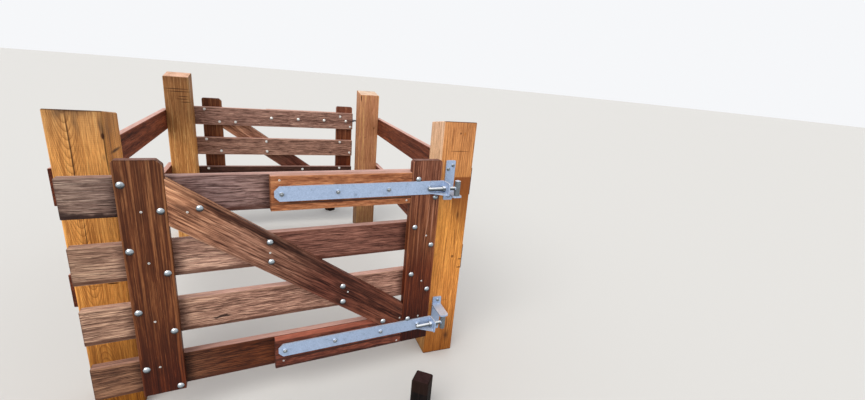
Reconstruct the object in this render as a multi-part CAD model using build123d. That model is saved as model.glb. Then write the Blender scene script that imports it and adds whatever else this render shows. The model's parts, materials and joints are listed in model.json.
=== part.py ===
"""Timber kissing gate: a square pen of four posts between two swing gates on strap hinges.

Millimetres, +Z up. The origin is the centre of the front hinge post's foot, at ground level.
The front gate and everything that belongs to it is drawn first; the back gate is its mirror image.
"""

import os
from math import acos, atan2, cos, degrees, hypot, sqrt, tan

from build123d import *

# Pen
post_size = 175
front_hinge_post_height = 1345
front_latch_post_height = 1326
back_hinge_post_height = 1335
back_latch_post_height = 1380
post_top_fall = 27
post_arris = 4
bay_width = 1540
bay_depth = 1975

# Sawn boards, used for the rails, stiles, braces, packers and sides
board_width = 150
board_thickness = 38
board_arris = 2
butt_gap = 1

# Side boards, on the posts' outer faces
upper_board_bottom = 945
lower_board_bottom = 498
side_board_setback = 66

# Gate leaf
leaf_bottom = 183
rail_pitch = 260
rail_names = ("top", "upper", "lower", "bottom")
closed_gap = 5
rail_lap = 118
latch_stile_gap = 53
hinge_stile_gap = 30
latch_stile_rise = 70
hinge_stile_rise = 57
latch_stile_corners = (8, 20)
hinge_stile_corners = (10, 9)
brace_foot_rise = 46
packer_length = 624

# Swing, in degrees
front_ajar = 4
gate_opening = 51

# Strap hinge: flat strap with a flange bent forward at its hinge end
strap_length = 776
strap_width = 65
strap_thickness = 6
strap_corner = 20
strap_bend_radius = 5
strap_hole_radius = 5.5
strap_hole_insets = (28, 258, 490)
last_hole_to_flange = 81
lower_strap_rise = 22
flange_depth = 60
flange_corner = 4
flange_to_pin = 63
gusset_length = 80
gusset_thickness = 5
gusset_drop = 23

# Eye bolt through the flange
eye_radius = 14
eye_height = 74
eye_bore_clearance = 0.5
shank_radius = 8
shank_hole_clearance = 0.3
shank_length = 156
shank_drop = 3
nut_across_flats = 24
nut_thickness = 13
nut_chamfer = 1.5

# Hinge bracket on the post
pin_radius = 9.5
pin_standoff = 106
pin_inset = 50
pin_top = 3
pin_tip = 2
seat_gap = 0.3
lift_gap = 4
bracket_width = 50
bracket_length = 208
bracket_thickness = 6
bracket_corner = 6
lug_thickness = 8
lug_past_pin = 16
lug_corner = 14
lug_to_plate_end = 46
screw_hole_radius = 4.5
short_end_hole = 20
short_end_hole_offset = 4
long_end_holes = (26, 46)
long_end_hole_offset = 12

# Stop stake
stop_size = 80
stop_height = 220
stop_reach = 382
stop_clearance = 6
stop_arris = 5

# Places that follow from the sizes above
post_face = post_size / 2
front_face = -post_face
pin_x = -post_face + pin_inset
pin_y = front_face - pin_standoff
rail_back = front_face - closed_gap
stile_back = rail_back - board_thickness
stile_front = stile_back - board_thickness
leaf_hinge_end = -post_face - hinge_stile_gap
leaf_latch_end = -bay_width + post_face - rail_lap
latch_stile_left = -bay_width + post_face + latch_stile_gap
latch_stile_right = latch_stile_left + board_width
hinge_stile_left = leaf_hinge_end - board_width
packer_left = hinge_stile_left - packer_length
flange_face = pin_x - flange_to_pin
front_hinge_axis = Axis((pin_x, pin_y, 0), (0, 0, 1))
mirror_plane = Plane.XZ.offset(-bay_depth / 2)


def timber(x, y, z, arris=board_arris):
    """A sawn timber that fills the given x, y and z spans, with its edges eased."""
    block = Box(x[1] - x[0], y[1] - y[0], z[1] - z[0])
    block = Pos((x[0] + x[1]) / 2, (y[0] + y[1]) / 2, (z[0] + z[1]) / 2) * block
    return chamfer(block.edges(), arris)


def upright_slab(points, y_back, thickness):
    """A flat piece with the given x, z outline, from y_back forward by its thickness."""
    outline = Plane.XZ.offset(-y_back) * Polygon(*points, align=None)
    return extrude(outline, thickness)


def rod_along_x(radius, x_start, x_end, y, z):
    """A round bar along X."""
    length = x_end - x_start
    return Pos((x_start + x_end) / 2, y, z) * Rot(0, 90, 0) * Cylinder(radius, length)


# Pen


def post(x, y, height, inward):
    """One square post, its top cut to fall towards the middle of the pen, along Y (1) or against it (-1)."""
    y_outer = y - inward * post_face
    y_inner = y + inward * post_face
    points = [(y_outer, 0), (y_outer, height), (y_inner, height - post_top_fall), (y_inner, 0)]
    outline = Plane.YZ.offset(x - post_face) * Polygon(*points, align=None)
    block = extrude(outline, post_size, dir=(1, 0, 0))
    eased = block.edges().filter_by(Axis.Z) + block.faces().sort_by(Axis.Z)[-1].edges()
    return chamfer(eased, post_arris)


def side_board(x_inner, outward, z_bottom):
    """One long board on the outer faces of a side's two posts."""
    x_outer = x_inner + outward * board_thickness
    y = (front_face + side_board_setback, bay_depth + post_face - side_board_setback)
    return timber(sorted((x_inner, x_outer)), y, (z_bottom, z_bottom + board_width))


def screw_holes(plate_middle, up):
    """The x offset and height of each screw hole: one past the lug, two staggered at the plate's long end."""
    half = bracket_length / 2
    near_first, near_second = long_end_holes
    return (
        (short_end_hole_offset, plate_middle - up * (half - short_end_hole)),
        (long_end_hole_offset, plate_middle + up * (half - near_first)),
        (-long_end_hole_offset, plate_middle + up * (half - near_second)),
    )


def bracket(eye_middle, up):
    """A hinge bracket: plate on the post, square-nosed lug, and pin. The pin points up (1) or down (-1)."""
    eye_end = eye_middle - up * eye_height / 2
    gap = seat_gap if up > 0 else lift_gap
    lug_face = eye_end - up * gap
    plate_end = lug_face - up * (lug_thickness + lug_to_plate_end)
    plate_middle = plate_end + up * bracket_length / 2
    plate = Box(bracket_width, bracket_thickness, bracket_length)
    plate = fillet(plate.edges().filter_by(Axis.Y), bracket_corner)
    plate = Pos(pin_x, front_face - bracket_thickness / 2, plate_middle) * plate
    for x_offset, z_hole in screw_holes(plate_middle, up):
        drill = Rot(90, 0, 0) * Cylinder(screw_hole_radius, 2 * bracket_thickness)
        plate -= Pos(pin_x + x_offset, front_face - bracket_thickness / 2, z_hole) * drill

    lug_middle = lug_face - up * lug_thickness / 2
    lug_reach = pin_standoff - bracket_thickness + lug_past_pin
    lug = Box(bracket_width, lug_reach, lug_thickness)
    lug = fillet(lug.edges().filter_by(Axis.Z).group_by(Axis.Y)[0], lug_corner)
    lug = Pos(pin_x, pin_y - lug_past_pin + lug_reach / 2, lug_middle) * lug

    pin_length = gap + eye_height + pin_top
    pin = Cylinder(pin_radius, pin_length)
    tip = pin.edges().filter_by(GeomType.CIRCLE).sort_by(Axis.Z)[-1 if up > 0 else 0]
    pin = Pos(pin_x, pin_y, lug_face + up * pin_length / 2) * chamfer(tip, pin_tip)
    return plate + lug + pin


def stop_stake():
    """The square stake that the open leaf's packer comes to rest beside."""
    offset = stop_size / 2 - (stile_front - pin_y) + stop_clearance
    x = pin_x - stop_reach
    y = pin_y - offset
    stake = Pos(x, y, stop_height / 2) * Box(stop_size, stop_size, stop_height)
    eased = stake.edges().filter_by(Axis.Z) + stake.faces().sort_by(Axis.Z)[-1].edges()
    return chamfer(eased, stop_arris).rotate(front_hinge_axis, gate_opening)


# Gate leaf, drawn closed


rail_bottoms = [leaf_bottom + rail_pitch * step for step in reversed(range(len(rail_names)))]
top_of_rails = rail_bottoms[0] + board_width
strap_middles = {
    "upper": rail_bottoms[0] + board_width / 2,
    "lower": rail_bottoms[-1] + board_width / 2 + lower_strap_rise,
}
shank_levels = {level: z_middle - shank_drop for level, z_middle in strap_middles.items()}


def rail(z_bottom):
    """One rail, lapping the latch post's face."""
    return timber(
        (leaf_latch_end, leaf_hinge_end),
        (stile_back, rail_back),
        (z_bottom, z_bottom + board_width),
    )


def stile(x_left, z_top, corners):
    """One stile on the front of the rails, with its two top corners cut, the left one first."""
    x_right = x_left + board_width
    left_cut, right_cut = corners
    points = [
        (x_left, leaf_bottom),
        (x_right, leaf_bottom),
        (x_right, z_top - right_cut),
        (x_right - right_cut, z_top),
        (x_left + left_cut, z_top),
        (x_left, z_top - left_cut),
    ]
    piece = upright_slab(points, stile_back, board_thickness)
    return chamfer(piece.edges(), board_arris)


brace_left = latch_stile_right + butt_gap
brace_right = hinge_stile_left - butt_gap
brace_foot = leaf_bottom + brace_foot_rise
brace_run = brace_right - brace_left
brace_drop = top_of_rails - brace_foot
brace_angle = acos(board_width / hypot(brace_run, brace_drop)) - atan2(brace_run, brace_drop)


def brace():
    """The diagonal, from the top of the latch stile to the foot of the hinge stile, cut upright at both."""
    upright_cut = board_width / cos(brace_angle)
    points = [
        (brace_left, top_of_rails),
        (brace_left, top_of_rails - upright_cut),
        (brace_right, brace_foot),
        (brace_right, brace_foot + upright_cut),
    ]
    piece = upright_slab(points, stile_back, board_thickness)
    return chamfer(piece.edges(), board_arris)


def upper_packer():
    """The board in the stile layer that carries the upper strap."""
    return timber(
        (packer_left, hinge_stile_left - butt_gap),
        (stile_front, stile_back),
        (rail_bottoms[0], top_of_rails),
    )


def lower_packer():
    """The board in the stile layer under the lower strap, cut to the underside of the brace."""
    z_top = leaf_bottom + board_width
    z_right = brace_foot - butt_gap / cos(brace_angle)
    x_cut = brace_right - (z_top - z_right) / tan(brace_angle)
    points = [
        (packer_left, leaf_bottom),
        (brace_right, leaf_bottom),
        (brace_right, z_right),
        (x_cut, z_top),
        (packer_left, z_top),
    ]
    piece = upright_slab(points, stile_back, board_thickness)
    return chamfer(piece.edges(), board_arris)


def strap(z_middle, z_shank):
    """A flat strap whose hinge end is bent forward and stiffened by a web."""
    x_far = flange_face - strap_length
    x_inner = flange_face - strap_thickness
    y_face = stile_front - strap_thickness
    y_tip = y_face - flange_depth
    z_bottom = z_middle - strap_width / 2
    profile = Polygon(
        (x_far, stile_front),
        (x_far, y_face),
        (x_inner, y_face),
        (x_inner, y_tip),
        (flange_face, y_tip),
        (flange_face, stile_front),
        align=None,
    )
    inner = profile.vertices().sort_by_distance((x_inner, y_face))[0]
    profile = fillet(inner, strap_bend_radius)
    outer = profile.vertices().sort_by_distance((flange_face, stile_front))[0]
    profile = fillet(outer, strap_bend_radius + strap_thickness)
    body = Pos(0, 0, z_bottom) * extrude(profile, strap_width)
    body = chamfer(body.edges().filter_by(Axis.Y).group_by(Axis.X)[0], strap_corner)
    body = chamfer(body.edges().filter_by(Axis.X).group_by(Axis.Y)[0], flange_corner)

    web = Polygon(
        (x_inner, y_face),
        (x_inner - gusset_length, y_face),
        (x_inner, y_tip + flange_corner),
        align=None,
    )
    body += Pos(0, 0, z_middle - gusset_drop - gusset_thickness) * extrude(web, gusset_thickness)
    hole_radius = shank_radius + shank_hole_clearance
    body -= rod_along_x(hole_radius, x_inner - 1, flange_face + 1, pin_y, z_shank)
    x_holes = [x_far + inset for inset in strap_hole_insets] + [flange_face - last_hole_to_flange]
    for x_hole in x_holes:
        drill = Rot(90, 0, 0) * Cylinder(strap_hole_radius, 2 * strap_thickness)
        body -= Pos(x_hole, stile_front - strap_thickness / 2, z_middle) * drill
    return body


def nut(x_start, z_shank):
    """A hexagonal nut on the shank, its corners turned off, from x_start towards the pin."""
    corner_radius = nut_across_flats / sqrt(3)
    blank = extrude(RegularPolygon(corner_radius, 6), nut_thickness)
    turned = Pos(0, 0, nut_thickness / 2) * Cylinder(corner_radius, nut_thickness)
    turned = chamfer(turned.edges().filter_by(GeomType.CIRCLE), nut_chamfer)
    return Pos(x_start, pin_y, z_shank) * Rot(0, 90, 0) * (blank & turned)


def eye_bolt(z_shank):
    """A tube on the pin, with a threaded shank through the strap's flange and a nut on each side of it."""
    tube = Pos(pin_x, pin_y, z_shank) * Cylinder(eye_radius, eye_height)
    shank = rod_along_x(shank_radius, pin_x - shank_length, pin_x, pin_y, z_shank)
    near = nut(flange_face, z_shank)
    far = nut(flange_face - strap_thickness - nut_thickness, z_shank)
    bore = Pos(pin_x, pin_y, z_shank) * Cylinder(pin_radius + eye_bore_clearance, eye_height)
    return tube + shank + near + far - bore


def leaf():
    """Every piece of one gate leaf, closed, by name."""
    pieces = {f"{name}_rail": rail(z) for name, z in zip(rail_names, rail_bottoms)}
    pieces["latch_stile"] = stile(latch_stile_left, top_of_rails + latch_stile_rise, latch_stile_corners)
    pieces["hinge_stile"] = stile(hinge_stile_left, top_of_rails + hinge_stile_rise, hinge_stile_corners)
    pieces["brace"] = brace()
    pieces["upper_packer"] = upper_packer()
    pieces["lower_packer"] = lower_packer()
    for level, z_shank in shank_levels.items():
        pieces[f"{level}_strap"] = strap(strap_middles[level], z_shank)
        pieces[f"{level}_eye_bolt"] = eye_bolt(z_shank)
    return pieces


def fittings():
    """The brackets and the stop of one gate, which stay with the pen."""
    return {
        "upper_bracket": bracket(shank_levels["upper"], 1),
        "lower_bracket": bracket(shank_levels["lower"], -1),
        "gate_stop": stop_stake(),
    }


nodes = {
    "front_hinge_post": post(0, 0, front_hinge_post_height, 1),
    "front_latch_post": post(-bay_width, 0, front_latch_post_height, 1),
    "back_hinge_post": post(0, bay_depth, back_hinge_post_height, -1),
    "back_latch_post": post(-bay_width, bay_depth, back_latch_post_height, -1),
}

for side, x_inner, outward in (("left", -bay_width - post_face, -1), ("right", post_face, 1)):
    nodes[f"{side}_upper_board"] = side_board(x_inner, outward, upper_board_bottom)
    nodes[f"{side}_lower_board"] = side_board(x_inner, outward, lower_board_bottom)

for name, piece in fittings().items():
    nodes[f"front_{name}"] = piece
    nodes[f"back_{name}"] = mirror(piece, mirror_plane)

for name, piece in leaf().items():
    nodes[f"front_{name}"] = piece.rotate(front_hinge_axis, front_ajar)
    nodes[f"back_{name}"] = mirror(piece, mirror_plane)

os.makedirs("parts", exist_ok=True)
for name, piece in nodes.items():
    export_step(piece, f"parts/{name}.step")
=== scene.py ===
"""Looks of the timber kissing gate: sawn woods, galvanised hinges, bolts, nuts, screws, light and camera.

Metres, +Z up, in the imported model's own frame. The front gate's fastenings are placed on the closed
leaf and then swung to where it rests; the back gate's are the mirror image of the front gate's.
"""

import json
import logging
import math
import random
from dataclasses import dataclass, field, replace
from enum import Enum
from typing import Iterable, Sequence

import bmesh
import bpy
from mathutils import Matrix, Vector


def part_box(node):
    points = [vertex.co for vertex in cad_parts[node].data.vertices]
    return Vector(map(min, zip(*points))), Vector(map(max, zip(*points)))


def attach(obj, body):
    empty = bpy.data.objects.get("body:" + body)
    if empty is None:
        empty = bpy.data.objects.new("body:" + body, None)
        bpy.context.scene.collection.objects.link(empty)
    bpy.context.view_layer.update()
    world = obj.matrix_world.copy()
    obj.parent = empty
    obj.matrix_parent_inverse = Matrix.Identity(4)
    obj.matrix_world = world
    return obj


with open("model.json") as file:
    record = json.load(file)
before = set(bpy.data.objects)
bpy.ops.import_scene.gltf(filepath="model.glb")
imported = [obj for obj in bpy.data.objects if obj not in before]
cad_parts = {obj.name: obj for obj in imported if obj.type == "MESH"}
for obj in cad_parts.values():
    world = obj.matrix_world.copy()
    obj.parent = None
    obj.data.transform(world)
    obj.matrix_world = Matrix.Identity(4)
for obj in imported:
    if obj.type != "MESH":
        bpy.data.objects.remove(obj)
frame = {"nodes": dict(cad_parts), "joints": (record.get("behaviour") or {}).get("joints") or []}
LOG = logging.getLogger("kissing_gate")

Colour = tuple[float, float, float]
Link = bpy.types.NodeSocket


def seen(red: int, green: int, blue: int) -> Colour:
    """Turns a colour as a screen shows it, 0 to 255 a channel, into linear light from 0 to 1."""
    shares = (channel / 255 for channel in (red, green, blue))
    return tuple(s / 12.92 if s <= 0.04045 else ((s + 0.055) / 1.055) ** 2.4 for s in shares)


class Wiring:
    """One material and a short hand for wiring its nodes."""

    def __init__(self, name: str) -> None:
        """Makes an empty node tree.

        Args:
            name: the material's name.
        """
        self.material = bpy.data.materials.new(name)
        self.material.use_nodes = True
        self.tree = self.material.node_tree
        self.tree.nodes.clear()

    def node(self, kind: str, inputs: dict | None = None, **settings) -> bpy.types.Node:
        """Adds one node.

        Args:
            kind: the node's type, without its ShaderNode prefix.
            inputs: sockets by name or number, each with a value or another node's output.
            settings: the node's own properties.

        Returns:
            The new node.
        """
        made = self.tree.nodes.new("ShaderNode" + kind)
        for key, value in settings.items():
            setattr(made, key, value)
        for key, value in (inputs or {}).items():
            if isinstance(value, Link):
                self.tree.links.new(value, made.inputs[key])
            else:
                made.inputs[key].default_value = value
        return made

    def sum(self, operation: str, *terms: float | Link) -> Link:
        """One step of arithmetic on numbers, such as ADD, DIVIDE or ABSOLUTE."""
        return self.node("Math", dict(enumerate(terms)), operation=operation).outputs[0]

    def times(self, value: Link, factor: float | Link) -> Link:
        """The product of two numbers."""
        return self.sum("MULTIPLY", value, factor)

    def scaled(self, value: Link, factor: float | Link, rest: float | Link) -> Link:
        """A value times a factor, added to the rest."""
        return self.sum("MULTIPLY_ADD", value, factor, rest)

    def vector(self, operation: str, *terms: Sequence[float] | Link) -> Link:
        """One step of arithmetic on vectors."""
        made = self.node("VectorMath", dict(enumerate(terms)), operation=operation)
        return made.outputs["Value" if operation in ("LENGTH", "DOT_PRODUCT") else "Vector"]

    def band(self, value: Link, low: float, high: float, to_low: float = 0.0, to_high: float = 1.0) -> Link:
        """Maps a value smoothly from the range low to high onto to_low to to_high, and holds it there."""
        inputs = {"Value": value, "From Min": low, "From Max": high, "To Min": to_low, "To Max": to_high}
        return self.node("MapRange", inputs, interpolation_type="SMOOTHSTEP").outputs[0]

    def blend(self, share: float | Link, under: Link | Colour, over: Link | Colour,
              kind: str = "MIX") -> Link:
        """Lays one colour over another.

        Args:
            share: how much of the upper one shows, from 0 to 1.
            under, over: the two colours.
            kind: how they blend, such as MIX or MULTIPLY.

        Returns:
            The blended colour.
        """
        under, over = (c if isinstance(c, Link) else (*c, 1.0) for c in (under, over))
        inputs = {0: share, 6: under, 7: over}
        return self.node("Mix", inputs, data_type="RGBA", blend_type=kind).outputs[2]

    def noise(self, place: Link, stretch: Sequence[float], shift: float, detail: float = 3.0,
              roughness: float = 0.55) -> Link:
        """Fractal noise, stretched per axis.

        Args:
            place: the coordinates.
            stretch: how many features to the metre along each axis.
            shift: moves the pattern, so that no two pieces are alike.
            detail: octaves of finer noise.
            roughness: how strong those octaves are.

        Returns:
            A value about 0.5.
        """
        moved = self.vector("MULTIPLY_ADD", place, stretch, (shift, 1.7 * shift, 2.3 * shift))
        inputs = {"Vector": moved, "Scale": 1.0, "Detail": detail, "Roughness": roughness}
        return self.node("TexNoise", inputs).outputs[0]

    def ramp(self, value: Link, stops: Sequence[tuple[float, Colour]]) -> Link:
        """Turns a value into a colour.

        Args:
            value: where on the ramp.
            stops: each colour's place, from 0 to 1, and the colour.

        Returns:
            The colour, blended between the two nearest stops.
        """
        made = self.node("ValToRGB", {0: value})
        points = made.color_ramp.elements
        while len(points) < len(stops):
            points.new(0.5)
        for point, (at, colour) in zip(points, stops):
            point.position = at
            point.color = (*colour, 1.0)
        return made.outputs[0]

    def finish(self, colour: Link, roughness: Link, height: Link, depth: float, metallic: float = 0.0,
               specular: float = 0.5) -> bpy.types.Material:
        """Closes the material with a bump and a Principled shader.

        Args:
            colour, roughness, height: what the surface's nodes give.
            depth: how high the bump stands, in metres.
            metallic, specular: uniform values, set on the shader itself.

        Returns:
            The finished material.
        """
        bump = self.node("Bump", {"Height": height, "Distance": depth, "Strength": 1.0})
        inputs = {"Base Color": colour, "Roughness": roughness, "Normal": bump.outputs[0],
                  "Metallic": metallic, "Specular IOR Level": specular}
        shader = self.node("BsdfPrincipled", inputs)
        self.node("OutputMaterial", {"Surface": shader.outputs[0]})
        return self.material


@dataclass(frozen=True)
class Place:
    """Where a timber lies: its middle, the ways its grain, width and front run, and its size that way."""

    middle: Vector
    along: Vector
    across: Vector
    size: Vector
    front: Vector = field(default_factory=lambda: Vector((0, -1, 0)))

    def hand(self) -> float:
        """1 if the timber's front looks down its third axis, or -1 if it looks up it."""
        return -1.0 if self.along.cross(self.across).dot(self.front) > 0 else 1.0

    @classmethod
    def between(cls, low: Vector, high: Vector, along: Vector, across: Vector,
                size: Vector | None = None) -> "Place":
        """Lays a timber between two corners of its box.

        Args:
            low, high: the corners.
            along, across: the ways that its grain and its width run.
            size: its size that way, where the box doesn't give it.

        Returns:
            The place, with its front towards -Y.
        """
        extent = high - low
        spans = [abs(extent.dot(axis)) for axis in (along, across, along.cross(across))]
        return cls((low + high) / 2, along, across, size or Vector(spans))

    def coordinates(self, wiring: Wiring) -> Link:
        """Turns Object coordinates to run along, across and through the timber.

        Args:
            wiring: the material's nodes.

        Returns:
            The coordinates, in metres from the timber's middle.
        """
        through = self.along.cross(self.across)
        turn = Matrix((self.along, self.across, through)).transposed().to_euler()
        inputs = {"Vector": wiring.node("TexCoord").outputs["Object"],
                  "Location": self.middle, "Rotation": turn}
        return wiring.node("Mapping", inputs, vector_type="TEXTURE").outputs[0]


class Face(Enum):
    """The face of a timber that a mark shows on: its cross axis, its depth axis and its side."""

    FRONT = (1, 2, -1.0)
    RIGHT = (2, 1, 1.0)
    LEFT = (2, 1, -1.0)


@dataclass(frozen=True)
class Mark:
    """A crack, knot, stain, saw line, or a patch of painted shade or light: where it is on the face, its
    size, and its colour.

    along and across are measured from the timber's middle, and length and width are the whole size.
    softness is the share of the mark that its rim takes, waver how far noise bends it across, and lean
    how far it drifts across for each metre along. A square mark keeps its corners, a fading one dies
    away towards the low end, and a deepening one multiplies what is under it.
    """

    along: float
    across: float
    length: float
    width: float
    colour: Colour
    strength: float = 0.85
    softness: float = 0.5
    waver: float = 0.004
    lean: float = 0.0
    face: Face = Face.FRONT
    square: bool = False
    fading: bool = False
    deepening: bool = False

    def share(self, wiring: Wiring, parts: Sequence[Link], drift: Link, hand: float) -> Link:
        """How strongly the mark covers each point.

        Args:
            wiring: the material's nodes.
            parts: the distances along, across and through the timber.
            drift: noise about 0, which bends the mark.
            hand: the timber's hand, by which its front is known.

        Returns:
            A share from 0 to 1.
        """
        cross_axis, deep_axis, side = self.face.value
        if deep_axis == 2:
            side *= hand
        u = wiring.sum("SUBTRACT", parts[0], self.along)
        shift = wiring.scaled(drift, self.waver, wiring.times(u, self.lean))
        v = wiring.sum("ADD", wiring.sum("SUBTRACT", parts[cross_axis], self.across), shift)
        reach = [wiring.times(u, 2 / self.length), wiring.times(v, 2 / self.width)]
        if self.square:
            radius = wiring.sum("MAXIMUM", *(wiring.sum("ABSOLUTE", part) for part in reach))
        else:
            radius = wiring.vector("LENGTH", wiring.node("CombineXYZ", dict(enumerate(reach))).outputs[0])
        inside = wiring.band(radius, 1.0 - self.softness, 1.0, self.strength, 0.0)
        if self.fading:
            inside = wiring.times(inside, wiring.band(u, -self.length / 2, 0.3 * self.length))
        depth = wiring.times(parts[deep_axis], side)
        return wiring.times(inside, wiring.sum("GREATER_THAN", depth, 0.0))


@dataclass(frozen=True)
class Timber:
    """The finish of one sawn timber.

    dark, body and pale are the streaks' colours, and tints multiplies them at places along the grain,
    given as shares of the length. broad and narrow are streaks to the metre across, dashes the thin
    dark ones and glints the thin pale ones. ring_gap, ring_lean and pith set the growth rings, which
    show as arches on a flat-sawn face; they turn over at ring_turn and fade out past ring_reach, and
    ring_curve draws them as narrow parabolas. detail is how much of the figure is fine streaks. saw
    is how dark the saw's marks across the grain are. top is the colour that a face turned to the sky
    takes on, partly by bleaching and partly as painted skylight, and top_ends is how far it has done so
    at the grain's two ends. edge is how much paler the long arrises are, partly wear and partly a
    painted highlight. warp and fibre are the slow sway and the finest fibres, in features to the metre,
    and dash_from and glint_from the levels of the noise at which dashes and glints begin and are full.
    """

    dark: Colour
    body: Colour
    pale: Colour
    tints: tuple[tuple[float, Colour], ...] = ()
    broad: float = 26.0
    narrow: float = 90.0
    stretch: float = 11.0
    waves: float = 0.022
    contrast: float = 1.0
    dashes: float = 62.0
    dash_stretch: float = 8.0
    dash_depth: float = 0.6
    glints: float = 0.0
    ring_gap: float = 0.006
    ring_depth: float = 0.25
    ring_lean: float = 0.05
    ring_turn: float = -5.0
    ring_round: float = 0.05
    ring_reach: float = 1.0
    ring_curve: float = 0.0
    detail: float = 0.5
    saw: float = 0.0
    saw_gap: float = 0.008
    pith: tuple[float, float] = (0.0, -0.09)
    top: Colour = seen(226, 176, 160)
    top_share: float = 0.75
    top_ends: tuple[float, float] = (1.0, 1.0)
    end_dark: float = 0.45
    end_colour: Colour = seen(44, 24, 16)
    gloss: float = 0.16
    edge: float = 0.3
    roughness: float = 0.62
    bump: float = 0.0016
    stain: Colour = seen(58, 28, 18)
    stain_strength: float = 0.5
    stain_reach: tuple[float, float] = (0.055, 0.017)
    tone_spread: float = 0.11
    warp: tuple[float, float, float] = (5.0, 11.0, 11.0)
    fibre: tuple[float, float, float] = (30.0, 600.0, 600.0)
    fibre_shade: tuple[float, float] = (0.72, 1.08)
    dash_from: tuple[float, float] = (0.53, 0.60)
    glint_from: tuple[float, float] = (0.41, 0.37)
    marks: tuple[Mark, ...] = ()

    def rings(self, wiring: Wiring, place: Link, shift: float) -> Link:
        """Growth rings about a pith line that leans.

        Args:
            wiring: the material's nodes.
            place: the timber's own coordinates.
            shift: moves the figure.

        Returns:
            Narrow dark bands, from 0 to 1.
        """
        wander, narrowness, fade = 0.018, 3.0, (0.6, 1.3)
        drift = wiring.noise(place, (3.0, 9.0, 9.0), shift + 4.0, 2.0)
        offset = wiring.vector("SUBTRACT", place, (0.0, *self.pith))
        flat = wiring.vector("LENGTH", wiring.vector("MULTIPLY", offset, (0.0, 1.0, 1.0)))
        height = wiring.sum("SUBTRACT", wiring.node("SeparateXYZ", {0: place}).outputs[0], self.ring_turn)
        rise = wiring.sum("SQRT", wiring.scaled(height, height, self.ring_round ** 2))
        spread = wiring.times(flat, flat) if self.ring_curve else flat
        spread = wiring.sum("DIVIDE", spread, self.ring_curve or 1.0)
        radius = wiring.scaled(drift, wander, spread)
        leaned = wiring.scaled(rise, -self.ring_lean, radius)
        phase = wiring.sum("FRACT", wiring.sum("DIVIDE", leaned, self.ring_gap))
        near = wiring.band(flat, *(self.ring_reach * share for share in fade), 1.0, 0.0)
        return wiring.times(near, wiring.sum("POWER", phase, narrowness))

    def saw_marks(self, wiring: Wiring, place: Link, parts: Sequence[Link], shift: float) -> Link:
        """The faint lines that the saw left across the grain.

        Args:
            wiring: the material's nodes.
            place: the timber's own coordinates.
            parts: the distances along, across and through the timber.
            shift: moves the figure.

        Returns:
            Dark lines, from 0 to 1.
        """
        wander, narrowness = 0.02, 2.0
        drift = wiring.noise(place, (4.0, 7.0, 7.0), shift + 5.0, 1.0)
        bent = wiring.scaled(drift, wander, parts[0])
        phase = wiring.sum("FRACT", wiring.sum("DIVIDE", bent, self.saw_gap))
        patchy = wiring.band(wiring.noise(place, (14.0, 24.0, 24.0), shift + 7.0, 2.0), 0.4, 0.6, 0.25, 1.0)
        return wiring.times(wiring.sum("POWER", phase, narrowness), patchy)

    def tint(self, wiring: Wiring, colour: Link, run: Link, half: float) -> Link:
        """Multiplies a colour by the tints, blended from each to the next along the grain.

        Args:
            wiring: the material's nodes.
            colour: the colour so far.
            run: the distance along the timber.
            half: half its length.

        Returns:
            The tinted colour.
        """
        if not self.tints:
            return colour
        (before, tone), *later = self.tints
        for at, after in later:
            share = wiring.band(run, half * (2 * before - 1), half * (2 * at - 1))
            tone = wiring.blend(share, tone, after)
            before = at
        return wiring.blend(1.0, colour, tone, "MULTIPLY")

    def material(self, name: str, place: Place, shift: float,
                 bolts: Sequence[tuple[float, float]] = ()) -> bpy.types.Material:
        """Builds the wood for one timber.

        Args:
            name: the material's name.
            place: how the timber lies.
            shift: moves the figure, so that no two timbers are alike.
            bolts: where bolts and screws stain the wood, along and across from its middle.

        Returns:
            The material, on Object coordinates.
        """
        wiring = Wiring(name)
        grain = place.coordinates(wiring)
        warp = wiring.noise(grain, self.warp, shift, 2.0)
        sway = wiring.times(warp, self.waves)
        bent = wiring.vector("ADD", grain, wiring.node("CombineXYZ", {1: sway, 2: sway}).outputs[0])
        long = self.stretch
        broad = wiring.noise(bent, (0.7 * self.broad / long, self.broad, self.broad), shift + 1.0, 3.0, 0.6)
        narrow = wiring.noise(bent, (self.narrow / long, self.narrow, self.narrow), shift + 2.0, 4.0, 0.68)
        fibre = wiring.noise(bent, self.fibre, shift + 3.0, 2.0, 0.6)
        thin = self.dashes
        lens = wiring.noise(bent, (thin / self.dash_stretch, thin, thin), shift + 9.0, 4.0, 0.7)
        dash = wiring.band(lens, *self.dash_from)
        rings = self.rings(wiring, bent, shift)
        parts = wiring.node("SeparateXYZ", {0: grain}).outputs

        tone = wiring.scaled(narrow, self.detail, wiring.times(broad, 1 - self.detail))
        spread = self.tone_spread / self.contrast
        stops = ((0.5 - spread, self.dark), (0.5, self.body), (0.5 + spread, self.pale))
        colour = wiring.ramp(tone, stops)
        glint = wiring.band(lens, *self.glint_from)
        layers = [(rings, self.ring_depth, self.dark), (glint, self.glints, self.pale),
                  (dash, self.dash_depth, self.dark)]
        if self.saw:
            layers.append((self.saw_marks(wiring, grain, parts, shift), self.saw, self.dark))
        for cover, strength, laid in layers:
            colour = wiring.blend(wiring.times(cover, strength), colour, laid)
        shade = wiring.band(fibre, 0.3, 0.62, *self.fibre_shade)
        grey = wiring.node("CombineColor", {0: shade, 1: shade, 2: shade}).outputs[0]
        colour = wiring.blend(1.0, colour, grey, "MULTIPLY")
        half = place.size / 2
        colour, arris_wear_and_highlight = self.edges(wiring, colour, parts, half, narrow)
        if bolts:
            colour = wiring.blend(self.stains(wiring, bent, bolts), colour, self.stain)
        colour = self.tint(wiring, colour, parts[0], half.x)

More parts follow.
